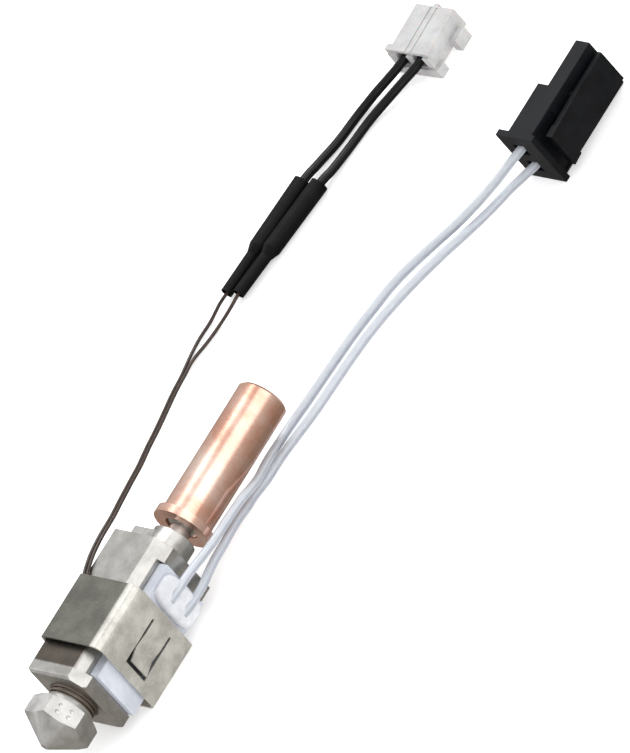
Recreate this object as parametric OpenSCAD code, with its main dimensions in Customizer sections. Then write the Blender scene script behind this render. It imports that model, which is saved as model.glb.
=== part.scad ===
// Printer hotend with ceramic heater, thermistor and plug-ended leads, lying on its side.
// Millimetres. Y runs along the filament path from nozzle to cold sleeve, +Z is up.
// The origin is on the filament axis, at the upper face of the cold sleeve's flange.

/* [Block] */
// Length of the block along the filament path
block_len = 19.2; // [16:0.1:24]
// Width of the block across, along X
block_w = 8; // [8:0.1:11]
// Height of the block as it lies, along Z
block_h = 9.26; // [9.2:0.02:12]
// Leg of the large chamfer between the top face and the heater face
block_chamfer = 1.7; // [1:0.1:1.9]
// Leg of the bevel round the nozzle end
block_bevel = 0.3; // [0.2:0.1:1]
// Radius of the round neck that takes the heat break
neck_r = 2.55; // [2.4:0.05:3]
// Length of the round neck
neck_len = 2.6; // [2:0.1:4]
// Height of the land beside the neck
land_h = 2; // [0.5:0.1:2]

/* [Ceramic heater] */
// Length of the heater plate
plate_len = 15.2; // [13:0.1:15.4]
// Width of the heater plate
plate_w = 7.5; // [6.5:0.1:7.6]
// Thickness of the heater plate
plate_t = 1.35; // [1.2:0.05:1.4]
// Depth of the pocket that holds the plate
pocket_depth = 0.65; // [0.5:0.05:0.8]
// Height of the lip below the plate
lip_h = 1.7; // [1.2:0.1:1.8]
// Clearance at the ends of the plate
plate_gap = 0.1; // [0.05:0.01:0.2]

/* [Nozzle] */
// Distance across the flats of the nozzle hexagon
hex_af = 7; // [6:0.1:7]
// Height of the hexagon
hex_h = 2.5; // [2:0.1:4]
// Height of the cone below the hexagon
cone_h = 2.3; // [1.8:0.1:3]
// Radius of the flat tip
tip_r = 0.5; // [0.4:0.05:0.8]
// Radius of the outlet hole
outlet_r = 0.2; // [0.1:0.05:0.4]
// Radius of the smooth neck between hexagon and block
nozzle_neck_r = 2.8; // [2.6:0.05:2.9]
// Width of each of the two grooves in that neck
neck_groove_w = 0.25; // [0.15:0.05:0.3]
// Depth of those grooves
neck_groove_depth = 0.3; // [0.1:0.05:0.5]
// Gap left between the hexagon and the block
nozzle_gap = 1.65; // [0.5:0.05:3]
// Radius of the threaded hole for the nozzle
nozzle_hole_r = 3; // [2.8:0.05:3.2]
// Depth of the threaded hole for the nozzle
nozzle_hole_depth = 8; // [6:0.1:9]

/* [Heat break and cold sleeve] */
// Radius of the filament bore
filament_r = 1; // [0.95:0.05:1.1]
// Radius of the thin stretch of the heat break
throat_r = 1.25; // [1.2:0.05:1.6]
// Length of the thin stretch between the neck and the flange
throat_len = 1.4; // [0.8:0.1:3]
// Radius of the hole that the heat break screws into
break_hole_r = 2; // [1.8:0.05:2.1]
// Outer radius of the cold sleeve
sleeve_r = 3; // [2.8:0.05:3.1]
// Length of the cold sleeve above its flange
sleeve_len = 17; // [12:0.5:24]
// Radius of the flange
flange_r = 3.5; // [3.2:0.05:3.5]
// Thickness of the flange
flange_t = 1; // [0.6:0.1:1]
// Radial clearance of threads and seats
fit_gap = 0.05; // [0.02:0.01:0.08]

/* [Spring clip] */
// Thickness of the spring steel
clip_t = 0.3; // [0.25:0.05:0.35]
// Height of the clip along the block
clip_h = 8.5; // [7.5:0.1:9]
// Distance from the nozzle end of the block to the clip
clip_from_end = 4; // [3.5:0.1:4.5]
// Outer radius of the bends
clip_bend_r = 0.85; // [0.7:0.05:1]
// Outer radius of the wider bend over the block's chamfer
clip_shoulder_r = 1.4; // [0.8:0.05:1.5]
// Gap between clip and block on the plain side
clip_side_gap = 0.1; // [0.05:0.01:0.2]
// Gap between clip and heater plate beside the tongue
clip_plate_gap = 0.25; // [0.2:0.01:0.4]
// Space between the clip and the top face of the block
clip_top_gap = 0.62; // [0.6:0.01:0.8]
// Space between the block and the lips behind it
clip_back_gap = 1.27; // [1:0.01:1.6]
// Length of each lip, bend included
lip_len = 2.6; // [1.5:0.1:3]
// Width of the slot that frees the tongue
slot_w = 0.35; // [0.25:0.05:0.5]
// Width of the tongue with its slots
tongue_w = 3.8; // [3:0.1:5]
// Length of the tongue with its end slot
tongue_len = 5.65; // [4:0.05:6]
// Distance of the tongue's middle below the clip's middle
tongue_off = 0.125; // [0:0.025:0.25]
// Outward kick of the tongue's free end
tongue_kick = 0.4; // [0.1:0.05:0.6]

/* [Thermistor] */
// Radius of the glass bead thermistor
bead_r = 0.6; // [0.4:0.05:0.6]
// Length of the glass bead
bead_len = 3.6; // [2:0.1:5]
// Inset of the bead's groove from the plain side of the block
groove_inset = 0.85; // [0.8:0.05:1.5]
// Clearance of the groove round the bead
groove_gap = 0.05; // [0.02:0.01:0.1]

/* [Leads] */
// Diameter of a heater lead
heater_lead_d = 1.05; // [0.8:0.05:1.1]
// Diameter of a thermistor leg
sensor_leg_d = 0.4; // [0.3:0.05:0.42]
// Diameter of a sensor wire
sensor_wire_d = 1.05; // [0.8:0.05:1.1]
// Radius of the heat-shrink over the splice
shrink_low_r = 0.7; // [0.6:0.05:0.75]
// Radius of the heat-shrink over the wire
shrink_high_r = 1.05; // [0.85:0.01:1.05]
// Length of a heat-shrink sleeve
shrink_len = 15.6; // [12:0.1:18]
// Length of a splice ferrule
splice_len = 3; // [2:0.1:4]

/* [Power plug] */
// Distance between the two power contacts
power_pitch = 3; // [2.8:0.1:3.2]
// Height of the power plug
power_h = 7.5; // [7:0.1:8]
// Width of the rear section
power_w = 3.65; // [3.4:0.05:4]
// Width of the front section
power_nose_w = 2.1; // [2:0.05:2.4]
// Length of the rear section
power_rear_len = 6.6; // [5:0.1:8]
// Length of the front section
power_nose_len = 6.2; // [5:0.1:8]
// Overhang of the rear flange
power_flange = 1.4; // [1:0.1:1.6]
// Thickness of the rear flange
power_flange_t = 0.8; // [0.6:0.1:1.2]
// Height of the latch lever
latch_h = 4.8; // [3.6:0.1:5.2]
// Thickness of the latch lever
latch_t = 0.65; // [0.5:0.05:0.8]
// Gap between the lever and the housing
latch_gap = 0.4; // [0.3:0.05:0.6]

/* [Sensor plug] */
// Distance between the two sensor contacts
sensor_pitch = 2.5; // [2.3:0.1:2.54]
// Width of the sensor plug
sensor_w = 5.9; // [5.6:0.1:7.5]
// Height of the sensor plug
sensor_h = 3.5; // [3.4:0.1:5]
// Length of the sensor plug
sensor_len = 7; // [6:0.1:9]
// Turn of the sensor plug as it lies, in degrees
sensor_turn = 2; // [0:0.5:6]

/* [Hidden] */
$fn = 64;

// Places along Y, from the seat of the cold sleeve down to the nozzle
flange_low = -flange_t;
neck_top = flange_low - throat_len;
block_top = neck_top - neck_len;
block_low = block_top - block_len;
hex_top = block_low - nozzle_gap;
hex_low = hex_top - hex_h;
tip_y = hex_low - cone_h;
nozzle_top = block_low + nozzle_hole_depth - 0.3;
break_low = block_low + nozzle_hole_depth;
plate_low = block_low + lip_h + plate_gap;
clip_low = block_low + clip_from_end;
clip_top = clip_low + clip_h;

// Places across
half_w = block_w / 2;
half_h = block_h / 2;
pocket_x = half_w - pocket_depth;
plate_x = pocket_x + plate_t;
plate_z = -half_h + 0.13;
plate_mid_z = plate_z + plate_w / 2;
hex_turn = 45;

// Clip outline
clip_left = -half_w - clip_side_gap - clip_t;
clip_right = plate_x + clip_plate_gap + clip_t;
clip_roof = half_h + clip_top_gap + clip_t;
clip_base = -half_h - clip_back_gap - clip_t;
table_z = clip_base;

// Thermistor
bead_x = -half_w + groove_inset;
bead_y = clip_low + 3;
bead_z = clip_roof - clip_t - bead_r - 0.02;
groove_r = bead_r + groove_gap;
groove_top = max(clip_top - 0.6, bead_y + bead_len + 1.3);

// Heater cement over the lead joints
cement_low = clip_low + clip_h + 0.3;
cement_high = plate_low + plate_len - 0.3;
cement_half_z = 3;
cement_h = 1.25;
cement_round = 0.8;

// Power plug, standing on the table with its contacts one above the other
power_x = 14.75;
power_y = 53.8;
power_z = table_z + power_h / 2;
power_right = power_x + 1.45;
power_left = power_right - power_w;
power_cavity = 1.7;
power_mouth = 1;
power_wire_x = 13.6;
latch_pivot_y = power_y + 7.7;
latch_front_y = power_y + 13.4;
latch_rear_y = power_y + 1.7;
latch_x = power_right + latch_gap;
latch_pad = 0.15;
power_wire_y = power_y + 3;

// Sensor plug, lying flat with its contacts side by side
sensor_x = -13.25;
sensor_y = 63.5;
sensor_flange_t = 0.8;
sensor_flange = 0.5;
sensor_foot = 0.7;
sensor_contact_z = 2.25;
sensor_cavity = 1.5;
sensor_wire_y = 3.3;

// Heat-shrink sleeves: start point and turn of each, in the plane of the table
shrink_at = [[-20.4, 31.4], [-18.65, 31.6]];
shrink_turn = [-3.3, -6.5];
shrink_z = table_z + shrink_high_r;
splice_from = 2.6;
wire_from = 6.2;
shrink_wall = 0.1;

// Routes, chosen by hand, from the hotend to the plug
heater_route_1 = [[5.4, -10.3, 0.5], [5.55, -8.8, 0.5], [5.45, -7, 0.4], [5.2, -5, 0],
    [4.8, -3, -0.6], [4.25, -0.8, -1.25], [4.05, 1.4, -1.45], [3.95, 3.2, -1.6],
    [3.95, 5, -1.7], [3.45, 6.9, -2.45], [2.55, 8.8, -3.4], [1.6, 10.8, -4.05],
    [0.8, 12.8, -4.7], [0.3, 14.8, -5.2], [-0.1, 17, -5.6], [0.1, 20.2, -5.65],
    [0.3, 23.5, -5.65], [0.5, 26.7, -5.65], [0.8, 30.2, -5.65], [1.3, 33.5, -5.65],
    [1.9, 36.9, -5.65], [3, 39.9, -5.6], [4.6, 42.8, -5.4], [6.6, 45.4, -4.8],
    [8.8, 48, -3.8], [11, 50.4, -2.5], [12.6, 52.4, -1.4], [13.35, 53.6, -1],
    [13.6, 54.8, -0.95], [13.6, 56.6, -0.95]];
heater_route_2 = [[5.4, -10.3, -2.1], [5.55, -8.8, -2.2], [5.2, -6.2, -2.5],
    [4.5, -4.1, -2.8], [3.9, -2.1, -3.1], [3.5, -0.2, -3.4], [2.9, 1.8, -3.8],
    [2.4, 3.7, -4.2], [2.1, 5.6, -4.6], [1.7, 7.5, -5], [1.6, 10, -5.4],
    [1.4, 13, -5.6], [1.7, 16.2, -5.65], [2.1, 19.4, -5.65], [2.3, 22.8, -5.65],
    [2.5, 26.3, -5.65], [2.8, 29.7, -5.65], [3.4, 33, -5.65], [4.2, 36, -5.65],
    [5.2, 39, -5.65], [6.4, 42, -5.65], [7.8, 45, -5.6], [9.4, 47.8, -5.3],
    [11.2, 50.6, -4.6], [12.7, 52.6, -4.1], [13.4, 53.8, -3.95],
    [13.6, 55, -3.95], [13.6, 56.6, -3.95]];
leg_route = [[-3.15, -13.5, 4.6], [-3.4, -12.2, 4.85], [-3.95, -11, 4.95],
    [-4.7, -8.8, 4.9], [-5.5, -6.2, 4.5], [-6.5, -3.3, 3.7], [-7.8, -0.5, 2.8],
    [-9.3, 2.4, 1.7], [-11, 5.4, 0.4], [-12.8, 8.4, -0.8], [-14.6, 11.4, -2.1],
    [-16.4, 14.5, -3.3], [-18.1, 17.5, -4.4], [-19.4, 20.4, -5.3]];
leg_end_1 = [[-20.7, 23, -5.85], [-21.1, 25.5, -5.95], [-21, 28, -5.9],
    [-20.75, 30, -5.45], [-20.4, 31.4, -5.18], [-20.25, 34, -5.15]];
leg_end_2 = [[-20, 22.8, -5.85], [-19.7, 25.2, -5.95], [-19.4, 27.4, -5.9],
    [-18.9, 29.6, -5.5], [-18.65, 31.6, -5.18], [-18.35, 34.2, -5.15]];
wire_route_1 = [[-20.04, 37.6, -5.15], [-19.52, 46.6, -5.15], [-19.2, 49.5, -5.4],
    [-18.6, 53, -5.65], [-18.1, 56.5, -5.6], [-17.1, 59.5, -5.2], [-16, 61.4, -4.7],
    [-15, 63, -4.2], [-14.55, 64.3, -3.95], [-14.6, 66.6, -3.95]];
wire_route_2 = [[-17.95, 37.8, -5.15], [-16.93, 46.7, -5.15], [-16.6, 49.3, -5.4],
    [-16.4, 52.7, -5.65], [-15.9, 56.1, -5.55], [-14.8, 59.1, -5.2], [-13.6, 61.4, -4.7],
    [-12.5, 63.1, -4.2], [-12.1, 64.3, -3.95], [-12.1, 66.7, -3.95]];
leg_spread = 0.23;

// A section given in X and Z, drawn out along Y
module along_y(from_y, to_y) {
    translate([0, from_y, 0])
        rotate([-90, 0, 0])
            linear_extrude(to_y - from_y)
                mirror([0, 1])
                    children();
}

// A round bar or cone along Y
module bar_y(from_y, to_y, r, r_end = undef) {
    translate([0, from_y, 0])
        rotate([-90, 0, 0])
            cylinder(h = to_y - from_y, r1 = r, r2 = r_end == undef ? r : r_end);
}

// A turned shape along Y, from points of radius and Y
module turned_y(points) {
    rotate([-90, 0, 0])
        rotate_extrude()
            polygon(points);
}

// A box from its low corner to its high corner
module box(low, high) {
    translate(low)
        cube(high - low);
}

// Points of an arc about a centre, from one angle to another
function arc(centre, r, from_a, to_a, steps = 8) =
    [for (i = [0 : steps]) let (a = from_a + (to_a - from_a) * i / steps)
        centre + r * [cos(a), sin(a)]];

function unit(v) = v / norm(v);

// Direction of a route at one of its points, from its neighbours
function heading(route, i) =
    unit(route[min(i + 1, len(route) - 1)] - route[max(i - 1, 0)]);

// One ring of a tube, square to the route
function ring(route, i, r, sides) =
    let (t = heading(route, i), u = unit(cross(t, [0, 0, 1])), v = cross(u, t))
        [for (k = [0 : sides - 1]) let (a = 360 * (k + 0.5) / sides)
            route[i] + r * (cos(a) * u + sin(a) * v)];

// A plain tube along a route, one ring at each point
module cord(route, d, sides = 8) {
    n = len(route);
    points = [for (i = [0 : n - 1]) each ring(route, i, d / 2, sides)];
    walls = [for (i = [0 : n - 2], k = [0 : sides - 1])
        let (k2 = (k + 1) % sides)
            [i * sides + k, (i + 1) * sides + k, (i + 1) * sides + k2, i * sides + k2]];
    low_end = [for (k = [0 : sides - 1]) k];
    high_end = [for (k = [sides - 1 : -1 : 0]) (n - 1) * sides + k];
    polyhedron(points, concat(walls, [low_end], [high_end]), convexity = 4);
}

// The two legs run side by side, each moved half a spacing to its own side
function beside(route, side) =
    [for (i = [0 : len(route) - 1])
        route[i] + side * leg_spread * unit(cross(heading(route, i), [0, 0, 1]))];

module heater_block() {
    color([0.74, 0.73, 0.71])
        difference() {
            union() {
                along_y(block_low, block_top)
                    polygon([[-half_w, -half_h], [half_w, -half_h],
                        [half_w, half_h - block_chamfer], [half_w - block_chamfer, half_h],
                        [-half_w, half_h]]);
                bar_y(block_top - 0.5, neck_top, neck_r);
                box([-half_w, block_top - 0.5, -neck_r + 0.1],
                    [0, block_top + land_h, neck_r - 0.1]);
            }
            // pocket for the heater plate, open at both sides
            box([pocket_x, block_low + lip_h, -half_h - 1],
                [half_w + 1, plate_low + plate_len + plate_gap, half_h + 1]);
            // bevel round the nozzle end
            for (side = [-1, 1]) {
                translate([side * half_w, block_low, 0])
                    rotate([0, 0, 45])
                        cube([block_bevel * sqrt(2), block_bevel * sqrt(2), block_h + 2],
                            center = true);
                translate([0, block_low, side * half_h])
                    rotate([45, 0, 0])
                        cube([block_w + 2, block_bevel * sqrt(2), block_bevel * sqrt(2)],
                            center = true);
            }
            bar_y(block_low - 1, block_low + nozzle_hole_depth, nozzle_hole_r);
            bar_y(block_low + nozzle_hole_depth - 0.5, neck_top + 1, break_hole_r);
            // groove for the thermistor, closed off before it leaves the clip
            translate([bead_x, 0, bead_z])
                bar_y(bead_y - 0.4, groove_top, groove_r);
            box([bead_x - groove_r, bead_y - 0.4, bead_z],
                [bead_x + groove_r, groove_top, half_h + 1]);
        }
}

module nozzle() {
    color([0.78, 0.77, 0.75])
        difference() {
            union() {
                intersection() {
                    rotate([0, -hex_turn, 0])
                        translate([0, tip_y, 0])
                            rotate([-90, 0, 0])
                                rotate([0, 0, 30])
                                    cylinder(h = hex_top - tip_y, r = hex_af / sqrt(3), $fn = 6);
                    turned_y([[0, tip_y], [tip_r, tip_y], [hex_af / 2 + 0.1, hex_low],
                        [hex_af * 0.6, hex_low + 0.2], [hex_af * 0.6, hex_top - 0.35],
                        [hex_af / 2, hex_top], [0, hex_top]]);
                }
                bar_y(hex_top - 0.2, block_low + 0.1, nozzle_neck_r);
                bar_y(block_low, nozzle_top, nozzle_hole_r - fit_gap);
            }
            // run-out of the thread, two grooves next to the block
            for (i = [0, 1])
                let (low = block_low - (2 * i + 1.6) * neck_groove_w)
                    turned_y([[nozzle_neck_r - neck_groove_depth, low],
                        [nozzle_neck_r + 1, low], [nozzle_neck_r + 1, low + neck_groove_w],
                        [nozzle_neck_r - neck_groove_depth, low + neck_groove_w]]);
            bar_y(tip_y + 1.4, nozzle_top + 1, filament_r);
            bar_y(tip_y - 1, tip_y + 1.5, outlet_r);
            // generic marker dimples on one flat, in place of a size mark
            for (i = [-1, 1], j = [-1, 1])
                rotate([0, -hex_turn, 0])
                    translate([hex_af / 2 + 0.32, (hex_low + hex_top) / 2 + 0.4 * j, 0.7 * i])
                        sphere(r = 0.4, $fn = 24);
        }
}

module heat_break() {
    seat_r = break_hole_r - fit_gap;
    color([0.66, 0.66, 0.67])
        turned_y([[filament_r, break_low], [seat_r, break_low], [seat_r, neck_top - 0.3],
            [throat_r, neck_top - 0.05], [throat_r, flange_low + 0.05],
            [seat_r, flange_low + 0.3], [seat_r, sleeve_len - 0.3],
            [filament_r + 0.6, sleeve_len - 0.3], [filament_r, sleeve_len - 0.9]]);
}

module cold_sleeve() {
    color([0.83, 0.55, 0.42])
        turned_y([[break_hole_r, flange_low], [flange_r, flange_low], [flange_r, 0],
            [sleeve_r, 0], [sleeve_r, sleeve_len - 0.3], [sleeve_r - 0.3, sleeve_len],
            [break_hole_r + 0.3, sleeve_len], [break_hole_r, sleeve_len - 0.3]]);
}

// Clip section: a web over the top, a leg down each side and a lip under each edge
module clip_section() {
    r = clip_bend_r;
    ri = clip_bend_r - clip_t;
    left = clip_left + r;
    right = clip_right - r;
    roof = clip_roof - r;
    base = clip_base + r;
    shoulder = [clip_right - clip_shoulder_r, clip_roof - clip_shoulder_r];
    polygon(concat(
        [[clip_left + lip_len, clip_base]], arc([left, base], r, 270, 180),
        arc([left, roof], r, 180, 90), arc(shoulder, clip_shoulder_r, 90, 0),
        arc([right, base], r, 0, -90), [[clip_right - lip_len, clip_base]],
        [[clip_right - lip_len, clip_base + clip_t]], arc([right, base], ri, -90, 0),
        arc(shoulder, clip_shoulder_r - clip_t, 0, 90), arc([left, roof], ri, 90, 180),
        arc([left, base], ri, 180, 270), [[clip_left + lip_len, clip_base + clip_t]]));
}

module spring_clip() {
    low_y = (clip_low + clip_top) / 2 - tongue_len / 2 - tongue_off;
    root_y = low_y + tongue_len;
    z_low = plate_mid_z - tongue_w / 2;
    face = clip_right - clip_t;
    dip = clip_plate_gap - 0.02;
    end_y = low_y + slot_w;
    color([0.55, 0.54, 0.51])
        union() {
            difference() {
                along_y(clip_low, clip_top)
                    clip_section();
                box([face - 1, low_y, z_low], [clip_right + 1, root_y, z_low + tongue_w]);
                for (z = [z_low + slot_w / 2, z_low + tongue_w - slot_w / 2])
                    translate([face - 1, root_y, z])
                        rotate([0, 90, 0])
                            cylinder(h = 3, r = slot_w / 2, $fn = 24);
            }
            // tongue: dips to press on the plate, then kicks outward
            translate([0, 0, z_low + slot_w])
                linear_extrude(tongue_w - 2 * slot_w)
                    polygon([[face, root_y + 0.1], [face, root_y - 1.6],
                        [face - dip, root_y - 3.3], [face + tongue_kick, end_y],
                        [clip_right + tongue_kick, end_y], [clip_right - dip, root_y - 3.35],
                        [clip_right, root_y - 1.65], [clip_right, root_y + 0.1]]);
        }
}

module ceramic_heater() {
    color([0.9, 0.91, 0.93])
        box([pocket_x, plate_low, plate_z], [plate_x, plate_low + plate_len, plate_z + plate_w]);
}

module heater_cement() {
    color([0.95, 0.95, 0.95])
        intersection() {
            hull()
                for (z = [plate_mid_z - cement_half_z, plate_mid_z + cement_half_z],
                        y = [cement_low + cement_round, cement_high - cement_round])
                    translate([plate_x + cement_h - cement_round, y,
                        z + (z < plate_mid_z ? 1 : -1) * cement_round])
                        sphere(r = cement_round, $fn = 32);
            box([plate_x, cement_low, plate_z],
                [plate_x + 3, cement_high, plate_z + plate_w]);
        }
}

module power_plug() {
    color([0.09, 0.09, 0.1])
        difference() {
            union() {
                box([power_left - power_flange, power_y, table_z],
                    [power_right + 0.6, power_y + power_flange_t, table_z + power_h + 0.1]);
                box([power_left, power_y, table_z + 0.1],
                    [power_right, power_y + power_flange_t + power_rear_len, table_z + power_h]);
                box([power_right - power_nose_w, power_y + power_flange_t, table_z + 0.1],
                    [power_right, power_y + power_flange_t + power_rear_len + power_nose_len,
                        table_z + power_h]);
            }
            for (side = [-1, 1])
                translate([0, 0, power_z + side * power_pitch / 2]) {
                    box([power_wire_x - power_cavity / 2, power_y - 1, -power_cavity / 2],
                        [power_wire_x + power_cavity / 2, power_y + 6, power_cavity / 2]);
                    box([power_x - power_mouth / 2, power_y + 4.7, -power_mouth / 2],
                        [power_x + power_mouth / 2, power_y + 20, power_mouth / 2]);
                }
            // relief under the press pad of the lever
            box([power_right - 0.2, power_y + power_flange_t, power_z - 3.3],
                [power_right + 1, power_y + 4.6, power_z + 3.3]);
        }
}

module power_latch() {
    outer = latch_x + latch_t;
    color([0.1, 0.1, 0.11])
        union() {
            translate([0, 0, power_z - latch_h / 2])
                linear_extrude(latch_h)
                    polygon([[latch_x, latch_front_y], [latch_x, latch_pivot_y],
                        [latch_x + 0.3, latch_rear_y], [outer + 0.45, latch_rear_y],
                        [outer, latch_pivot_y + 1], [outer, latch_front_y]]);
            // press pad
            translate([0, 0, power_z - latch_h / 2 - latch_pad])
                linear_extrude(latch_h + 2 * latch_pad)
                    polygon([[latch_x + 0.25, latch_rear_y + 1.6], [latch_x + 0.3, latch_rear_y],
                        [outer + 0.6, latch_rear_y], [outer + 0.45, latch_rear_y + 1.6]]);
            // web that the lever rocks on
            box([power_right + 0.02, latch_pivot_y - 0.3, power_z - latch_h / 2],
                [latch_x + 0.1, latch_pivot_y + 0.3, power_z + latch_h / 2]);
            // catch at the front
            box([latch_x - 0.2, latch_front_y - 0.8, power_z - latch_h / 2 + 0.6],
                [latch_x + 0.1, latch_front_y, power_z + latch_h / 2 - 0.6]);
        }
}

// Crimped contact: a barrel behind the wire, then a socket set over to one side
module power_terminal(side) {
    z = power_z + side * power_pitch / 2;
    color([0.75, 0.68, 0.45])
        difference() {
            union() {
                box([power_wire_x - 0.6, power_wire_y, z - 0.65],
                    [power_wire_x + 0.75, power_y + 5.9, z + 0.65]);
                box([power_x - 0.45, power_y + 5, z - 0.45],
                    [power_x + 0.45, power_y + 12, z + 0.45]);
            }
            box([power_x - 0.25, power_y + 8, z - 0.25], [power_x + 0.25, power_y + 13, z + 0.25]);
        }
}

module thermistor() {
    color([0.6, 0.35, 0.2])
        translate([bead_x, 0, bead_z])
            turned_y(concat([[0, bead_y]],
                [for (a = [-75 : 15 : 0]) [bead_r * cos(a), bead_y + bead_r + bead_r * sin(a)]],
                [for (a = [0 : 15 : 75]) [bead_r * cos(a), bead_y + bead_len - bead_r + bead_r * sin(a)]],
                [[0, bead_y + bead_len]]));
}

module sensor_leg(side, tail) {
    color([0.36, 0.28, 0.24])
        cord(concat(beside(leg_route, side), tail), sensor_leg_d, 8);
}

// Frame of one heat-shrink sleeve, with Y along it
module at_shrink(i) {
    translate([shrink_at[i][0], shrink_at[i][1], shrink_z])
        rotate([0, 0, shrink_turn[i]])
            children();
}

module splice(i) {
    color([0.8, 0.55, 0.35])
        at_shrink(i)
            turned_y([[sensor_leg_d / 2, splice_from], [sensor_leg_d / 2 + 0.25, splice_from],
                [sensor_leg_d / 2 + 0.25, splice_from + splice_len],
                [sensor_leg_d / 2, splice_from + splice_len]]);
}

module shrink_sleeve(i) {
    bore_low = shrink_low_r - shrink_wall;
    bore_high = sensor_wire_d / 2 + 0.06;
    color([0.08, 0.08, 0.08])
        at_shrink(i)
            turned_y([[bore_low, 0], [shrink_low_r, 0], [shrink_low_r, wire_from - 0.9],
                [shrink_high_r, wire_from + 0.2], [shrink_high_r, shrink_len],
                [bore_high, shrink_len], [bore_high, wire_from - 0.4], [bore_low, wire_from - 0.8]]);
}

// Frame of the sensor plug: Y along it, Z from the table
module at_sensor_plug() {
    translate([sensor_x, sensor_y, table_z])
        rotate([0, 0, sensor_turn])
            children();
}

module sensor_plug() {
    half = sensor_w / 2;
    color([0.93, 0.93, 0.92])
        at_sensor_plug()
            difference() {
                union() {
                    box([-half, 0.6, sensor_foot], [half, sensor_len, sensor_h]);
                    // foot and roof of the wire side
                    box([-half - sensor_flange, 0, 0],
                        [half + sensor_flange, sensor_flange_t + 0.6, 1.3]);
                    box([-half - 0.7, 0.6, sensor_h - 0.8], [half - 0.5, 1.4, sensor_h]);
                    box([-half - 0.4, 0.3, 0.4], [half, 1.4, sensor_h - 0.5]);
                    // locking rib on one side
                    box([half - 0.1, 3.9, 0], [half + 1, 6, 1.7]);
                    // key in the middle of the roof, proud of the front
                    box([-0.35, sensor_len - 1, sensor_h - 1],
                        [0.35, sensor_len + 0.4, sensor_h]);
                }
                // grooves beside the ridge between the two contact housings
                for (side = [-1, 1])
                    box([side * 0.45 - 0.15, 0.1, sensor_h - 0.12],
                        [side * 0.45 + 0.15, sensor_len - 0.2, sensor_h + 1]);
                for (side = [-1, 1])
                    translate([side * sensor_pitch / 2, 0, sensor_contact_z])
                        box([-sensor_cavity / 2, -1, -sensor_cavity / 2],
                            [sensor_cavity / 2, sensor_len + 1, sensor_cavity / 2 + 0.05]);
            }
}

module sensor_terminal(side) {
    color([0.8, 0.8, 0.78])
        at_sensor_plug()
            translate([side * sensor_pitch / 2, 0, sensor_contact_z])
                difference() {
                    box([-0.55, sensor_wire_y, -0.6], [0.55, sensor_len - 0.4, 0.5]);
                    box([-0.35, sensor_wire_y + 1, -0.4], [0.35, sensor_len, 0.3]);
                }
}

module heater_lead(route) {
    color([0.93, 0.93, 0.96])
        cord(route, heater_lead_d, 8);
}

module sensor_wire(route) {
    color([0.07, 0.07, 0.07])
        cord(route, sensor_wire_d, 8);
}

heater_block();
nozzle();
heat_break();
cold_sleeve();
spring_clip();
ceramic_heater();
heater_cement();
heater_lead(heater_route_1);  // heater_lead_1
heater_lead(heater_route_2);  // heater_lead_2
power_plug();
power_latch();
power_terminal(1);  // power_terminal_1
power_terminal(-1);  // power_terminal_2
thermistor();
sensor_leg(-1, leg_end_1);  // sensor_leg_1
sensor_leg(1, leg_end_2);  // sensor_leg_2
splice(0);  // splice_1
splice(1);  // splice_2
shrink_sleeve(0);  // shrink_sleeve_1
shrink_sleeve(1);  // shrink_sleeve_2
sensor_wire(wire_route_1);  // sensor_wire_1
sensor_wire(wire_route_2);  // sensor_wire_2
sensor_plug();
sensor_terminal(-1);  // sensor_terminal_1
sensor_terminal(1);  // sensor_terminal_2
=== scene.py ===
import math

import bpy
import numpy as np
from mathutils import Matrix, Vector


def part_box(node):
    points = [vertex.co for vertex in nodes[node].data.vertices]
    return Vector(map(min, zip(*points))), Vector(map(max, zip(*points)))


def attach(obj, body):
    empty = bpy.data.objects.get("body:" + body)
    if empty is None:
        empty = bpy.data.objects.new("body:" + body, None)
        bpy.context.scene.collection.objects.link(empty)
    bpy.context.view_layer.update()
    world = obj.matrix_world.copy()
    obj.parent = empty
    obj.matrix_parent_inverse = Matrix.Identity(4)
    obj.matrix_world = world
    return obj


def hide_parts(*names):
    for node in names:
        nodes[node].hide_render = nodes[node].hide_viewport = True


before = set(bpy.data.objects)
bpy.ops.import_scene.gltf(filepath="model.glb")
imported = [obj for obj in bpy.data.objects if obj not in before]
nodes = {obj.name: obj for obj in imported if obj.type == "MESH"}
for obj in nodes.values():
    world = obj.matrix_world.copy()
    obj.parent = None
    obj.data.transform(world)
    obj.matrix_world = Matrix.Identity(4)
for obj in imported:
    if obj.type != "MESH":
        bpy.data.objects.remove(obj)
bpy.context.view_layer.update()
scene = bpy.context.scene
scene.view_settings.view_transform = "Standard"
mm = 0.001  # metres

cameraSettings = {
    "right": (0.6892, 0.5007, -0.5239),
    "back": (0.7109, -0.3272, 0.6224),
    "target": (11.36, 18.0, 5.17),  # mm, the middle of the view
    "lens": 1300.0,  # mm
    "sensor": 36.0,  # mm
    "viewHeight": 82.2,  # mm seen from top to bottom at the target
    "clip": (0.01, 20),  # metres
}


def makeCamera(s):
    data = bpy.data.cameras.new("camera")
    data.lens, data.sensor_width = s["lens"], s["sensor"]
    cam = bpy.data.objects.new("camera", data)
    scene.collection.objects.link(cam)
    back = Vector(s["back"]).normalized()
    right = (Vector(s["right"]) - back * Vector(s["right"]).dot(back)).normalized()
    up = back.cross(right)
    distance = s["lens"] * s["viewHeight"] * mm / s["sensor"]
    place = Vector(s["target"]) * mm + back * distance
    turn = Matrix((right, up, back)).transposed()
    cam.matrix_world = Matrix.Translation(place) @ turn.to_4x4()
    data.clip_start, data.clip_end = s["clip"]
    scene.camera = cam


makeCamera(cameraSettings)
print("stage: camera ready")


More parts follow.
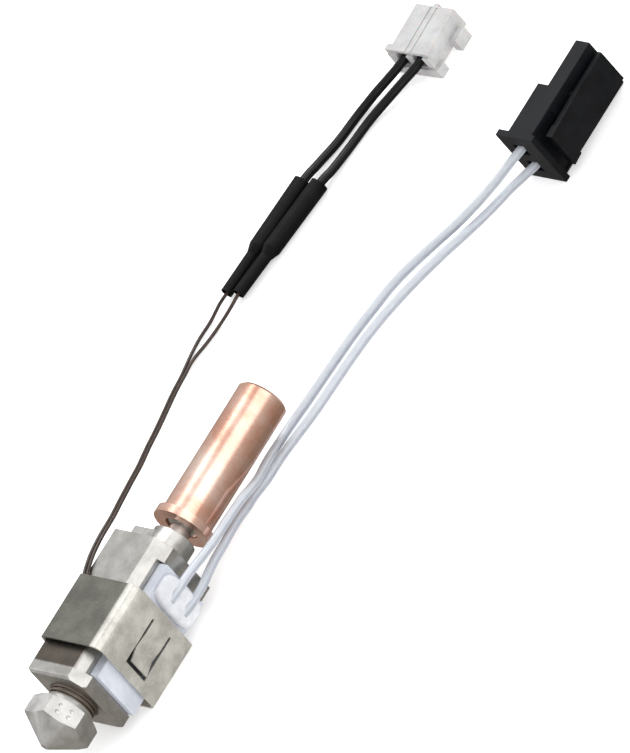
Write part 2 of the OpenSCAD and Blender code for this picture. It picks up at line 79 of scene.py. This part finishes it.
def smoothPath(points, steps=10):
    # each span between two route points is a cubic,
    # whose end slopes are half the step between the neighbours
    p = np.asarray(points, float)
    p = np.vstack([2 * p[0] - p[1], p, 2 * p[-1] - p[-2]])
    a, b, c, d = (v[:, None, :] for v in (p[:-3], p[1:-2], p[2:-1], p[3:]))
    t = (np.arange(steps) / steps)[None, :, None]
    q = 0.5 * (2 * b + (c - a) * t + (2 * a - 5 * b + 4 * c - d) * t**2
               + (3 * b - a - 3 * c + d) * t**3)
    return np.vstack([q.reshape(-1, 3), p[-2:-1]])


def pathLength(path):
    # the running sum of the straight steps between points
    return np.r_[0, np.cumsum(np.linalg.norm(np.diff(path, axis=0), axis=1))]


def gridMesh(name, grid, uvs=None):
    # rows (along) by columns (round) become quads; the last column joins the first,
    # and one face closes each end
    rows, cols = grid.shape[:2]
    i, j = np.meshgrid(np.arange(rows - 1), np.arange(cols), indexing="ij")
    j2 = (j + 1) % cols
    quads = np.stack([i * cols + j, i * cols + j2,
                      (i + 1) * cols + j2, (i + 1) * cols + j], -1).reshape(-1, 4)
    caps = [list(range(cols - 1, -1, -1)), list(range((rows - 1) * cols, rows * cols))]
    mesh = bpy.data.meshes.new(name)
    mesh.from_pydata((grid.reshape(-1, 3) * mm).tolist(), [], quads.tolist() + caps)
    if uvs is not None:
        layer = mesh.uv_layers.new(name="along")
        loops = np.empty(len(mesh.loops), int)
        mesh.loops.foreach_get("vertex_index", loops)
        uv = uvs.reshape(-1, 2)[loops]
        column = np.arange(len(quads)).repeat(4) % cols
        lastColumn = np.zeros(len(loops), bool)
        lastColumn[:len(column)] = column == cols - 1
        # so the map doesn't run back across the seam
        uv[lastColumn & (loops % cols == 0), 0] -= 1
        layer.data.foreach_set("uv", uv.ravel())
    mesh.polygons.foreach_set("use_smooth", [True] * len(quads) + [False] * len(caps))
    mesh.validate()
    mesh.update()
    return mesh


def addPiece(name, mesh, body, material, replaces):
    piece = bpy.data.objects.new(name, mesh)
    scene.collection.objects.link(piece)
    mesh.materials.clear()
    mesh.materials.append(material)
    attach(piece, body)
    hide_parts(*replaces)
    return piece


def tubeAlong(path, radius, sides=20):
    # a circle carried along the path: centre + r (cos a * side + sin a * lift),
    # side square to the path and level, lift square to both
    t = np.gradient(path, axis=0)
    t /= np.linalg.norm(t, axis=1)[:, None]
    side = np.cross(t, [0.0, 0.0, 1.0])
    side /= np.linalg.norm(side, axis=1)[:, None]
    lift = np.cross(side, t)
    a = 2 * np.pi * np.arange(sides) / sides - np.pi / 2  # the seam lies underneath
    grid = path[:, None] + radius * (np.cos(a)[None, :, None] * side[:, None]
                                     + np.sin(a)[None, :, None] * lift[:, None])
    # the map counts turns one way and centimetres the other
    along = np.broadcast_to(pathLength(path)[:, None], (len(path), sides))
    turn = np.broadcast_to(np.arange(sides)[None] / sides, along.shape)
    uvs = np.stack([turn, along / 10], -1)
    return grid[:, ::-1], uvs[:, ::-1]


def hexColour(code):
    # sRGB hex to linear
    v = np.array([int(code[k:k + 2], 16) for k in (1, 3, 5)]) / 255
    v = np.where(v <= 0.04045, v / 12.92, ((v + 0.055) / 1.055) ** 2.4)
    return (*v.tolist(), 1.0)


def addNode(tree, kind, settings=None, links=None):
    # one node: its attributes, socket values and ramp stops are set, then its inputs are linked
    node = tree.nodes.new(kind)
    values = dict(settings or {})
    stops = values.pop("stops", ())
    for key in [k for k in values if isinstance(k, str) and hasattr(node, k)]:
        setattr(node, key, values.pop(key))
    for key, value in values.items():
        node.inputs[key].default_value = value
    if stops:
        ends = node.color_ramp.elements
        while len(ends) < len(stops):
            ends.new(0.5)  # moved to its place just below
        for end, (place, colour) in zip(ends, stops):
            end.position, end.color = place, hexColour(colour)
    for key, source in (links or {}).items():
        tree.links.new(source, node.inputs[key])
    return node


def startMaterial(name):
    material = bpy.data.materials.new(name)
    material.use_nodes = True
    tree = material.node_tree
    tree.nodes.clear()
    output = addNode(tree, "ShaderNodeOutputMaterial")
    coords = addNode(tree, "ShaderNodeTexCoord")
    return material, tree, output, coords


def paintShade(tree, coords, colour, s):
    # each band is an axis, a low and a high place in mm and the softness of its ends;
    # the painted shade multiplies the colour where all bands meet, a darkening that stands in for
    # shadow or dark reflection
    if "band" not in s:
        return colour
    inside = None
    split = addNode(tree, "ShaderNodeSeparateXYZ", links={"Vector": coords.outputs["Object"]})
    for axis, low, high, soft in s["band"]:
        for place, ends in ((low, (0.0, 1.0)), (high, (1.0, 0.0))):
            step = addNode(tree, "ShaderNodeMapRange", {
                "interpolation_type": "SMOOTHSTEP",
                "From Min": (place - soft) * mm, "From Max": (place + soft) * mm,
                "To Min": ends[0], "To Max": ends[1]},
                {"Value": split.outputs[axis]}).outputs["Result"]
            inside = step if inside is None else addNode(
                tree, "ShaderNodeMath", {"operation": "MULTIPLY"},
                {0: inside, 1: step}).outputs["Value"]
    # sockets 6 and 7 are the two colours, and output 2 is the mixed one
    return addNode(tree, "ShaderNodeMix", {
        "data_type": "RGBA", "blend_type": "MULTIPLY", 7: hexColour(s["paintedShade"])},
        {0: inside, 6: colour}).outputs[2]


# what the grainy finishes share, unless one says otherwise
grainDefaults = {
    "stretch": (1, 1, 1), "grainInColour": 0.4, "spread": 0.16, "reliefMm": 0.02,
    "wideDetail": 4.0, "wideRoughness": 0.6, "fineDetail": 3.0, "fineRoughness": 0.65,
    "glossFrom": (0.3, 0.7), "metallic": 0.0, "shader": {},
}


def grainMaterial(name, own):
    # two layers of noise: a wide one shifts the colour, and a fine one, which is stretched
    # along the working direction, shifts colour and gloss and is the relief
    s = {**grainDefaults, **own}
    material, tree, output, coords = startMaterial(name)
    stretch = addNode(tree, "ShaderNodeMapping", {"Scale": s["stretch"]},
                      {"Vector": coords.outputs["Object"]})
    wide = addNode(tree, "ShaderNodeTexNoise", {
        "Scale": 1 / (s["patchMm"] * mm), "Detail": s["wideDetail"],
        "Roughness": s["wideRoughness"]}, {"Vector": coords.outputs["Object"]})
    fine = addNode(tree, "ShaderNodeTexNoise", {
        "Scale": 1 / (s["grainMm"] * mm), "Detail": s["fineDetail"],
        "Roughness": s["fineRoughness"]}, {"Vector": stretch.outputs["Vector"]})
    both = addNode(tree, "ShaderNodeMath", {"operation": "MULTIPLY_ADD", 1: s["grainInColour"]},
                   {0: fine.outputs["Fac"], 2: wide.outputs["Fac"]})
    level = 0.5 + 0.5 * s["grainInColour"]  # the middle of the two noises together
    ramp = addNode(tree, "ShaderNodeValToRGB", {
        "stops": [(level - s["spread"], s["dark"]), (level + s["spread"], s["light"])]},
        {"Fac": both.outputs["Value"]})
    gloss = addNode(tree, "ShaderNodeMapRange", {
        "From Min": s["glossFrom"][0], "From Max": s["glossFrom"][1],
        "To Min": s["roughness"][0], "To Max": s["roughness"][1]},
        {"Value": fine.outputs["Fac"]})
    bump = addNode(tree, "ShaderNodeBump", {"Strength": s["bump"], "Distance": s["reliefMm"] * mm},
                   {"Height": fine.outputs["Fac"]})
    shader = addNode(tree, "ShaderNodeBsdfPrincipled", {"Metallic": s["metallic"], **s["shader"]}, {
        "Base Color": paintShade(tree, coords, ramp.outputs["Color"], s),
        "Roughness": gloss.outputs["Result"], "Normal": bump.outputs["Normal"]})
    tree.links.new(shader.outputs["BSDF"], output.inputs["Surface"])
    return material


# what the turned metals share; Y is the axis of the lathe
turnedDefaults = {
    "stretch": (0.12, 1.0, 0.12), "lineDetail": 4.0, "lineRoughness": 0.7, "patchDetail": 3.0,
    "lineInColour": 0.35, "darkAt": 0.5, "lightAt": 0.86, "glossFrom": (0.3, 0.7),
    "reliefMm": 0.01,
}


def turnedMaterial(name, own):
    # turning lines: noise drawn out round the axis, so that no two lines match, over wide patches
    s = {**turnedDefaults, **own}
    material, tree, output, coords = startMaterial(name)
    stretch = addNode(tree, "ShaderNodeMapping", {"Scale": s["stretch"]},
                      {"Vector": coords.outputs["Object"]})
    lines = addNode(tree, "ShaderNodeTexNoise", {
        "Scale": 1 / (s["lineMm"] * mm), "Detail": s["lineDetail"],
        "Roughness": s["lineRoughness"]}, {"Vector": stretch.outputs["Vector"]})
    patches = addNode(tree, "ShaderNodeTexNoise", {
        "Scale": 1 / (s["patchMm"] * mm), "Detail": s["patchDetail"]},
        {"Vector": coords.outputs["Object"]})
    mixed = addNode(tree, "ShaderNodeMath", {"operation": "MULTIPLY_ADD", 1: s["lineInColour"]},
                    {0: lines.outputs["Fac"], 2: patches.outputs["Fac"]})
    ramp = addNode(tree, "ShaderNodeValToRGB", {
        "stops": [(s["darkAt"], s["dark"]), (s["lightAt"], s["light"])]},
        {"Fac": mixed.outputs["Value"]})
    gloss = addNode(tree, "ShaderNodeMapRange", {
        "From Min": s["glossFrom"][0], "From Max": s["glossFrom"][1],
        "To Min": s["roughness"][0], "To Max": s["roughness"][1]},
        {"Value": mixed.outputs["Value"]})
    bump = addNode(tree, "ShaderNodeBump", {"Strength": s["bump"], "Distance": s["reliefMm"] * mm},
                   {"Height": lines.outputs["Fac"]})
    shader = addNode(tree, "ShaderNodeBsdfPrincipled", {"Metallic": 1.0}, {
        "Base Color": paintShade(tree, coords, ramp.outputs["Color"], s),
        "Roughness": gloss.outputs["Result"], "Normal": bump.outputs["Normal"]})
    tree.links.new(shader.outputs["BSDF"], output.inputs["Surface"])
    return material


# milled aluminium, nickel plated: satin, with faint cutter lines along the block;
# its top face below the clip is darkened in colour, a painted shadow of the clip
nickelPlate = grainMaterial("nickel plated aluminium, milled", {
    "dark": "#b5b3ae", "light": "#cfcdc8", "roughness": (0.3, 0.42), "bump": 0.25,
    "metallic": 1.0, "patchMm": 2.2, "grainMm": 0.16, "stretch": (1, 0.25, 1),
    "grainInColour": 0.5, "paintedShade": "#8e8780",
    "band": [("Y", -22.7, 9, 0.12), ("Y", -40, -17.6, 1.6), ("Z", 2.6, 9, 0.2),
             ("X", -9, 2.4, 0.25)]})
# spring steel strip, rolled and brushed; the top of the web over the block is darkened in colour, a
# painted dark reflection
springSteel = grainMaterial("spring steel strip, brushed", {
    "dark": "#bcbab2", "light": "#e4e2d9", "roughness": (0.32, 0.42), "bump": 0.12,
    "metallic": 0.55, "patchMm": 2.6, "grainMm": 0.12, "stretch": (0.2, 1, 1),
    "grainInColour": 0.45, "paintedShade": "#8f908c",
    "band": [("Z", 5.2, 9, 0.1), ("X", -9, 3.7, 0.2)]})
# alumina, fired: matte blue-white, very fine grit; darkened in colour where the clip covers it,
# painted shade
alumina = grainMaterial("alumina plate, fired", {
    "dark": "#c2c7d1", "light": "#d6dae3", "roughness": (0.38, 0.55), "bump": 0.15,
    "patchMm": 3.0, "grainMm": 0.15, "grainInColour": 0.25, "paintedShade": "#4a4642",
    "band": [("Y", -19.2, -12.9, 0.9), ("Z", -2.9, 1.5, 0.8)]})
# glass cement over the lead joints: white, slightly lumpy
leadCement = grainMaterial("glass cement, fired", {
    "dark": "#cfd2d8", "light": "#e2e3e7", "roughness": (0.3, 0.5), "bump": 0.5,
    "reliefMm": 0.05, "patchMm": 1.4, "grainMm": 0.6, "grainInColour": 0.3})
# PBT moulding, spark-eroded texture, slightly blue black
blackMoulding = grainMaterial("black PBT, moulded", {
    "dark": "#05070b", "light": "#0e1117", "roughness": (0.42, 0.58), "bump": 0.3,
    "reliefMm": 0.015, "patchMm": 1.8, "grainMm": 0.14, "shader": {"Specular IOR Level": 0.25}})
# nylon moulding, milky
milkyNylon = grainMaterial("natural nylon, moulded", {
    "dark": "#bababa", "light": "#cdcdcc", "roughness": (0.32, 0.45), "bump": 0.15,
    "reliefMm": 0.015, "patchMm": 2.0, "grainMm": 0.25, "grainInColour": 0.3,
    "shader": {"Subsurface Weight": 0.2, "Subsurface Scale": 0.0006}})
# heat-shrink tube, polyolefin: matte, with faint wrinkles round it
shrinkTube = grainMaterial("polyolefin heat-shrink", {
    "dark": "#030303", "light": "#0c0c0d", "roughness": (0.5, 0.68), "bump": 0.4,
    "patchMm": 1.5, "grainMm": 0.2, "stretch": (1, 0.5, 1), "grainInColour": 0.5,
    "shader": {"Specular IOR Level": 0.18}})
# stamped contact, tinned
tinPlate = grainMaterial("tinned bronze, stamped", {
    "dark": "#a8a08c", "light": "#cdc6b4", "roughness": (0.25, 0.4), "bump": 0.15,
    "metallic": 1.0, "patchMm": 1.0, "grainMm": 0.2})
# glass bead with the dark chip inside
amberGlass = grainMaterial("amber glass bead", {
    "dark": "#6a3516", "light": "#b06a34", "roughness": (0.08, 0.15), "bump": 0.05,
    "patchMm": 0.8, "grainMm": 0.3, "shader": {"Coat Weight": 0.6}})
# copper tube, turned and polished
polishedCopper = turnedMaterial("copper, turned and polished", {
    "dark": "#efb298", "light": "#ffe2d3", "roughness": (0.17, 0.27), "bump": 0.05,
    "lineMm": 0.11, "patchMm": 4.0})
# nozzle, brass under nickel, turned; the neck is darkened in colour, a painted shadow
platedBrass = turnedMaterial("nickel plated brass, turned", {
    "dark": "#c4c3c0", "light": "#e4e3e0", "roughness": (0.42, 0.54), "bump": 0.2,
    "lineMm": 0.14, "patchMm": 2.0, "band": [("Y", -25.15, -20, 0.1)], "paintedShade": "#b5a99f"})
# heat break, a thin tube left as turned
turnedTitanium = turnedMaterial("titanium tube, turned", {
    "dark": "#bdb9b4", "light": "#e2dfda", "roughness": (0.28, 0.42), "bump": 0.2,
    "lineMm": 0.12, "patchMm": 1.5})

# what the sleeves round the leads share
sleeveDefaults = {
    "tone": 0.45, "gritDetail": 3.0, "coreFrom": 0.8, "coreTo": 1.0, "darkAt": 0.12,
    "lightAt": 0.5, "reliefMm": 0.02, "shader": {},
}


def sleeveMaterial(name, own):
    # a sleeve round a stranded wire: sin(2 pi strands (turn + twist * length)) draws lines that
    # wind along it, from the tube's own map of turn and length, and noise breaks them up
    s = {**sleeveDefaults, **own}
    material, tree, output, coords = startMaterial(name)
    split = addNode(tree, "ShaderNodeSeparateXYZ", links={"Vector": coords.outputs["UV"]})
    turns = addNode(tree, "ShaderNodeMath", {"operation": "MULTIPLY_ADD", 1: s["twistPerCm"]},
                    {0: split.outputs["Y"], 2: split.outputs["X"]})
    strand = addNode(tree, "ShaderNodeMath", {
        "operation": "MULTIPLY", 1: 2 * math.pi * s["strands"]}, {0: turns.outputs["Value"]})
    wave = addNode(tree, "ShaderNodeMath", {"operation": "SINE"}, {0: strand.outputs["Value"]})
    grit = addNode(tree, "ShaderNodeTexNoise", {
        "Scale": 1 / (s["grainMm"] * mm), "Detail": s["gritDetail"]},
        {"Vector": coords.outputs["Object"]})
    soft = addNode(tree, "ShaderNodeMath", {
        "operation": "MULTIPLY_ADD", 1: s["gritShow"], 2: s["tone"] - 0.5 * s["gritShow"]},
        {0: grit.outputs["Fac"]})
    mixed = addNode(tree, "ShaderNodeMath", {"operation": "MULTIPLY_ADD", 1: s["strandShow"]},
                    {0: wave.outputs["Value"], 2: soft.outputs["Value"]})
    if "coreAt" in s:  # the wire inside lies to one side and shows through as a darker line
        offset = addNode(tree, "ShaderNodeMath", {
            "operation": "MULTIPLY_ADD", 1: 2 * math.pi, 2: -2 * math.pi * s["coreAt"]},
            {0: split.outputs["X"]})
        near = addNode(tree, "ShaderNodeMath", {"operation": "COSINE"},
                       {0: offset.outputs["Value"]})
        line = addNode(tree, "ShaderNodeMapRange", {
            "interpolation_type": "SMOOTHSTEP", "From Min": s["coreFrom"],
            "From Max": s["coreTo"], "To Max": -s["coreShow"]}, {"Value": near.outputs["Value"]})
        mixed = addNode(tree, "ShaderNodeMath", {"operation": "ADD"},
                        {0: mixed.outputs["Value"], 1: line.outputs["Result"]})
    ramp = addNode(tree, "ShaderNodeValToRGB", {
        "stops": [(s["darkAt"], s["dark"]), (s["lightAt"], s["light"])]},
        {"Fac": mixed.outputs["Value"]})
    bump = addNode(tree, "ShaderNodeBump", {"Strength": s["bump"], "Distance": s["reliefMm"] * mm},
                   {"Height": mixed.outputs["Value"]})
    shader = addNode(tree, "ShaderNodeBsdfPrincipled", {
        "Roughness": s["roughness"], **s["shader"]},
        {"Base Color": ramp.outputs["Color"], "Normal": bump.outputs["Normal"]})
    tree.links.new(shader.outputs["BSDF"], output.inputs["Surface"])
    return material


# clear fluoropolymer sleeve over silvery strands: lavender white, glossy
clearSleeve = sleeveMaterial("fluoropolymer sleeve on plated strands", {
    "dark": "#9499a4", "light": "#dadfe6", "roughness": 0.22, "bump": 0.04, "strands": 5,
    "twistPerCm": 0.6, "strandShow": 0.012, "grainMm": 0.8, "gritShow": 0.12,
    "coreAt": 0.24, "coreShow": 0.2,
    "shader": {"Transmission Weight": 0.06, "IOR": 1.36, "Coat Weight": 0.2}})
blackInsulation = sleeveMaterial("black PVC insulation", {
    "dark": "#030303", "light": "#0b0b0c", "roughness": 0.36, "bump": 0.12, "strands": 7,
    "twistPerCm": 0.9, "strandShow": 0.04, "grainMm": 0.3, "gritShow": 0.5,
    "shader": {"Specular IOR Level": 0.3}})
brownEnamel = sleeveMaterial("brown enamelled leg", {
    "dark": "#15100d", "light": "#43342b", "roughness": 0.35, "bump": 0.15, "strands": 2,
    "twistPerCm": 3.0, "strandShow": 0.03, "grainMm": 0.5, "gritShow": 0.7})
print("stage: materials ready")

# lead routes, in millimetres as in the part
heaterLeads = {
    "diameter": 1.05,
    "routes": [
        [(5.4, -10.3, 0.5), (5.55, -8.8, 0.5), (5.45, -7, 0.4), (5.2, -5, 0), (4.8, -3, -0.6),
         (4.25, -0.8, -1.25), (4.05, 1.4, -1.45), (3.95, 3.2, -1.6), (3.95, 5, -1.7),
         (3.45, 6.9, -2.45), (2.55, 8.8, -3.4), (1.6, 10.8, -4.05), (0.8, 12.8, -4.7),
         (0.3, 14.8, -5.2), (-0.1, 17, -5.6), (0.1, 20.2, -5.65), (0.3, 23.5, -5.65),
         (0.5, 26.7, -5.65), (0.8, 30.2, -5.65), (1.3, 33.5, -5.65), (1.9, 36.9, -5.65),
         (3, 39.9, -5.6), (4.6, 42.8, -5.4), (6.6, 45.4, -4.8), (8.8, 48, -3.8), (11, 50.4, -2.5),
         (12.6, 52.4, -1.4), (13.35, 53.6, -1), (13.6, 54.8, -0.95), (13.6, 56.6, -0.95)],
        [(5.4, -10.3, -2.1), (5.55, -8.8, -2.2), (5.2, -6.2, -2.5), (4.5, -4.1, -2.8),
         (3.9, -2.1, -3.1), (3.5, -0.2, -3.4), (2.9, 1.8, -3.8), (2.4, 3.7, -4.2), (2.1, 5.6, -4.6),
         (1.7, 7.5, -5), (1.6, 10, -5.4), (1.4, 13, -5.6), (1.7, 16.2, -5.65), (2.1, 19.4, -5.65),
         (2.3, 22.8, -5.65), (2.5, 26.3, -5.65), (2.8, 29.7, -5.65), (3.4, 33, -5.65),
         (4.2, 36, -5.65), (5.2, 39, -5.65), (6.4, 42, -5.65), (7.8, 45, -5.6), (9.4, 47.8, -5.3),
         (11.2, 50.6, -4.6), (12.7, 52.6, -4.1), (13.4, 53.8, -3.95), (13.6, 55, -3.95),
         (13.6, 56.6, -3.95)],
    ],
}
sensorLegs = {
    "diameter": 0.4,
    "spread": 0.23,  # how far each leg lies from the route that both share
    "shared": [
        (-3.15, -13.5, 4.6), (-3.4, -12.2, 4.85), (-3.95, -11, 4.95), (-4.7, -8.8, 4.9),
        (-5.5, -6.2, 4.5), (-6.5, -3.3, 3.7), (-7.8, -0.5, 2.8), (-9.3, 2.4, 1.7), (-11, 5.4, 0.4),
        (-12.8, 8.4, -0.8), (-14.6, 11.4, -2.1), (-16.4, 14.5, -3.3), (-18.1, 17.5, -4.4),
        (-19.4, 20.4, -5.3),
    ],
    "ends": [
        [(-20.7, 23, -5.85), (-21.1, 25.5, -5.95), (-21, 28, -5.9), (-20.75, 30, -5.45),
         (-20.4, 31.4, -5.18), (-20.25, 34, -5.15)],
        [(-20, 22.8, -5.85), (-19.7, 25.2, -5.95), (-19.4, 27.4, -5.9), (-18.9, 29.6, -5.5),
         (-18.65, 31.6, -5.18), (-18.35, 34.2, -5.15)],
    ],
}
sensorWires = {
    "diameter": 1.05,
    "routes": [
        [(-20.04, 37.6, -5.15), (-19.52, 46.6, -5.15), (-19.2, 49.5, -5.4), (-18.6, 53, -5.65),
         (-18.1, 56.5, -5.6), (-17.1, 59.5, -5.2), (-16, 61.4, -4.7), (-15, 63, -4.2),
         (-14.55, 64.3, -3.95), (-14.6, 66.6, -3.95)],
        [(-17.95, 37.8, -5.15), (-16.93, 46.7, -5.15), (-16.6, 49.3, -5.4), (-16.4, 52.7, -5.65),
         (-15.9, 56.1, -5.55), (-14.8, 59.1, -5.2), (-13.6, 61.4, -4.7), (-12.5, 63.1, -4.2),
         (-12.1, 64.3, -3.95), (-12.1, 66.7, -3.95)],
    ],
}


def makeCord(name, path, diameter, material, replaces):
    grid, uvs = tubeAlong(path, diameter / 2)
    mesh = gridMesh(name, grid, uvs)
    piece = addPiece(name, mesh, "block", material, replaces)


for k, route in enumerate(heaterLeads["routes"]):
    makeCord(f"heaterLead{k + 1}", smoothPath(route), heaterLeads["diameter"], clearSleeve,
             [f"heater_lead_{k + 1}"])
for k, end in enumerate(sensorLegs["ends"]):
    # one leg on each side of the shared route, until they part at its end
    shared = np.array(sensorLegs["shared"], float)
    whole = np.vstack([shared, np.array(end, float)])
    way = np.vstack([whole[1] - whole[0], whole[2:] - whole[:-2]])[:len(shared)]
    side = np.cross(way, [0.0, 0.0, 1.0])
    side /= np.linalg.norm(side, axis=1)[:, None]
    shared = shared + (2 * k - 1) * sensorLegs["spread"] * side
    path = smoothPath(np.vstack([shared, np.array(end, float)]))
    makeCord(f"sensorLeg{k + 1}", path, sensorLegs["diameter"], brownEnamel,
             [f"sensor_leg_{k + 1}"])
for k, route in enumerate(sensorWires["routes"]):
    makeCord(f"sensorWire{k + 1}", smoothPath(route), sensorWires["diameter"], blackInsulation,
             [f"sensor_wire_{k + 1}"])
print("stage: leads ready")

# pieces with softened edges: name, body, finish and the width of the rounding in mm
softened = {
    "heater_block": ("blockMilled", "block", nickelPlate, 0.12),
    "ceramic_heater": ("heaterPlate", "block", alumina, 0.1),
    "spring_clip": ("clipStrip", "clip", springSteel, 0.05),
    "nozzle": ("nozzleTurned", "nozzle", platedBrass, 0.1),
    "power_plug": ("powerHousing", "block", blackMoulding, 0.1),
    "power_latch": ("powerLatch", "latch", blackMoulding, 0.1),
    "sensor_plug": ("sensorHousing", "block", milkyNylon, 0.12),
}
edges = {
    "joinWithin": 0.0000005,  # metres
    "flatWithin": 1.0,  # degrees
    "sharpFrom": 28,  # degrees
    "segments": 3,
}


def softenEdges(node, name, body, material, width):
    # the part's own solid, joined up, with its sharp edges rounded
    mesh = nodes[node].data.copy()
    mesh.name = name
    piece = addPiece(name, mesh, body, material, [node])
    weld = piece.modifiers.new("join", "WELD")
    weld.merge_threshold = edges["joinWithin"]
    flat = piece.modifiers.new("flatten", "DECIMATE")
    flat.decimate_type, flat.angle_limit = "DISSOLVE", math.radians(edges["flatWithin"])
    bevel = piece.modifiers.new("round", "BEVEL")
    bevel.width, bevel.segments = width * mm, edges["segments"]
    bevel.limit_method, bevel.angle_limit = "ANGLE", math.radians(edges["sharpFrom"])
    bevel.use_clamp_overlap, bevel.harden_normals = True, True


for node, (name, body, material, width) in softened.items():
    softenEdges(node, name, body, material, width)

# cement drop over the lead joints: a cushion on the plate, flat on top and steep at its rim
cement = {
    "y": (-11.3, -7.55), "z": (-4.35, 2.65), "height": 1.2,  # mm
    "sunk": 0.02, "rimSunk": 0.06,  # mm
    "lumps": 0.05, "lumpsY": 2.1, "lumpsZ": 1.7, "lumpShift": 0.7,
    "dents": [(-9.3, 0.5), (-9.3, -2.15)], "dentDepth": 0.45, "dentWidth": 0.4, "dentFrom": 0.3,
}


def cementMesh(s, plateFace, rows=48, cols=64):
    # rows run from the rim to the middle; each is the outline |y|^4 + |z|^4 = 1 shrunk by t,
    # and height = h (1 - t^4)^(1/3), with waves for lumps and a round dip where each lead goes in
    t = np.linspace(1, 0.0, rows)[:, None]
    a = 2 * np.pi * np.arange(cols)[None] / cols
    c, n = np.cos(a), np.sin(a)
    outline = (np.abs(c) ** 4 + np.abs(n) ** 4) ** -0.25
    y = np.mean(s["y"]) + np.ptp(s["y"]) / 2 * t * outline * c
    z = np.mean(s["z"]) + np.ptp(s["z"]) / 2 * t * outline * n
    base = plateFace - s["sunk"]
    rise = np.clip(1 - t**4, 0, None) ** (1 / 3) * s["height"]
    lumps = s["lumps"] * np.sin(s["lumpsY"] * y + s["lumpShift"]) * np.cos(s["lumpsZ"] * z)
    x = base + rise * (1 + lumps)
    for dentY, dentZ in s["dents"]:
        dip = np.exp(-((y - dentY) ** 2 + (z - dentZ) ** 2) / s["dentWidth"])
        x = x - s["dentDepth"] * (x > base + s["dentFrom"]) * dip
    rim = np.stack([np.full_like(x[:1], base - s["rimSunk"]), y[:1], z[:1]], -1)
    return gridMesh("leadCement", np.concatenate([rim, np.stack([x, y, z], -1)]))


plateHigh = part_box("ceramic_heater")[1]
addPiece("leadCement", cementMesh(cement, plateHigh[0] / mm), "block", leadCement,
         ["heater_cement"])

# pieces that keep their own shape and only get a finish
finishes = {
    "heat_break": turnedTitanium, "cold_sleeve": polishedCopper, "thermistor": amberGlass,
    "power_terminal_1": tinPlate, "power_terminal_2": tinPlate,
    "splice_1": tinPlate, "splice_2": tinPlate,
    "sensor_terminal_1": tinPlate, "sensor_terminal_2": tinPlate,
    "shrink_sleeve_1": shrinkTube, "shrink_sleeve_2": shrinkTube,
}
for node, material in finishes.items():
    mesh = nodes[node].data
    mesh.materials.clear()
    mesh.materials.append(material)
print("stage: pieces ready")

floorSettings = {
    "height": -6.205,  # mm
    "size": 3.0,  # metres
    "colour": "#fafafa",
    "glow": 0.45,
    "shader": {"Roughness": 0.9, "Specular IOR Level": 0.1},
}
lightSettings = {
    "middle": (0, 0.01, 0),  # metres
    "panels": [
        # name, direction from the middle, distance m, size m, power W, colour
        ("keyPanel", (0.62, 0.33, 0.71), 0.55, 0.5, 0.76, "#ffffff"),
        ("topPanel", (-0.35, 0.75, 0.9), 0.7, 0.4, 2.6, "#ffffff"),
        ("sidePanel", (-0.9, -0.25, 0.45), 0.7, 0.3, 0.8, "#f6f8ff"),
        ("lowPanel", (0.75, -0.75, 0.3), 0.8, 0.25, 0.6, "#fffaf5"),
    ],
}
# pale above, dim and warm below, so metal shows darker undersides
skySettings = {
    "stops": [(0.0, "#9a9891"), (0.25, "#bdb8b2"), (0.56, "#e3e1df"), (0.85, "#f6f6f8")],
    "strength": 0.72,
}


def makeFloor(s):
    half = s["size"] / 2
    z = s["height"] * mm
    mesh = bpy.data.meshes.new("floor")
    corners = [(-half, -half, z), (half, -half, z), (half, half, z), (-half, half, z)]
    mesh.from_pydata(corners, [], [(0, 1, 2, 3)])
    floor = bpy.data.objects.new("floor", mesh)
    scene.collection.objects.link(floor)
    material, tree, output, _ = startMaterial("pale paper floor")
    shader = addNode(tree, "ShaderNodeBsdfPrincipled", {
        "Base Color": hexColour(s["colour"]), "Emission Color": (1, 1, 1, 1),
        "Emission Strength": s["glow"], **s["shader"]})
    tree.links.new(shader.outputs["BSDF"], output.inputs["Surface"])
    mesh.materials.append(material)
    floor.visible_glossy = False  # the metal reflects the dim lower half of the sky instead


def makeLights(s):
    for name, way, distance, size, power, colour in s["panels"]:
        data = bpy.data.lights.new(name, "AREA")
        data.shape, data.size, data.energy = "DISK", size, power
        data.color = hexColour(colour)[:3]
        lamp = bpy.data.objects.new(name, data)
        scene.collection.objects.link(lamp)
        way = Vector(way).normalized()
        lamp.location = Vector(s["middle"]) + way * distance
        lamp.rotation_mode = "QUATERNION"
        lamp.rotation_quaternion = way.to_track_quat("Z", "Y")


def makeSky(s):
    world = bpy.data.worlds.new("sky")
    scene.world = world
    world.use_nodes = True
    tree = world.node_tree
    tree.nodes.clear()
    coords = addNode(tree, "ShaderNodeTexCoord")
    split = addNode(tree, "ShaderNodeSeparateXYZ", links={"Vector": coords.outputs["Generated"]})
    height = addNode(tree, "ShaderNodeMapRange", {"From Min": -1.0, "From Max": 1.0},
                     {"Value": split.outputs["Z"]})
    ramp = addNode(tree, "ShaderNodeValToRGB", {"stops": s["stops"]},
                   {"Fac": height.outputs["Result"]})
    shade = addNode(tree, "ShaderNodeBackground", {"Strength": s["strength"]},
                    {"Color": ramp.outputs["Color"]})
    addNode(tree, "ShaderNodeOutputWorld", links={"Surface": shade.outputs["Background"]})


makeFloor(floorSettings)
makeLights(lightSettings)
makeSky(skySettings)
print("stage: floor and light ready")
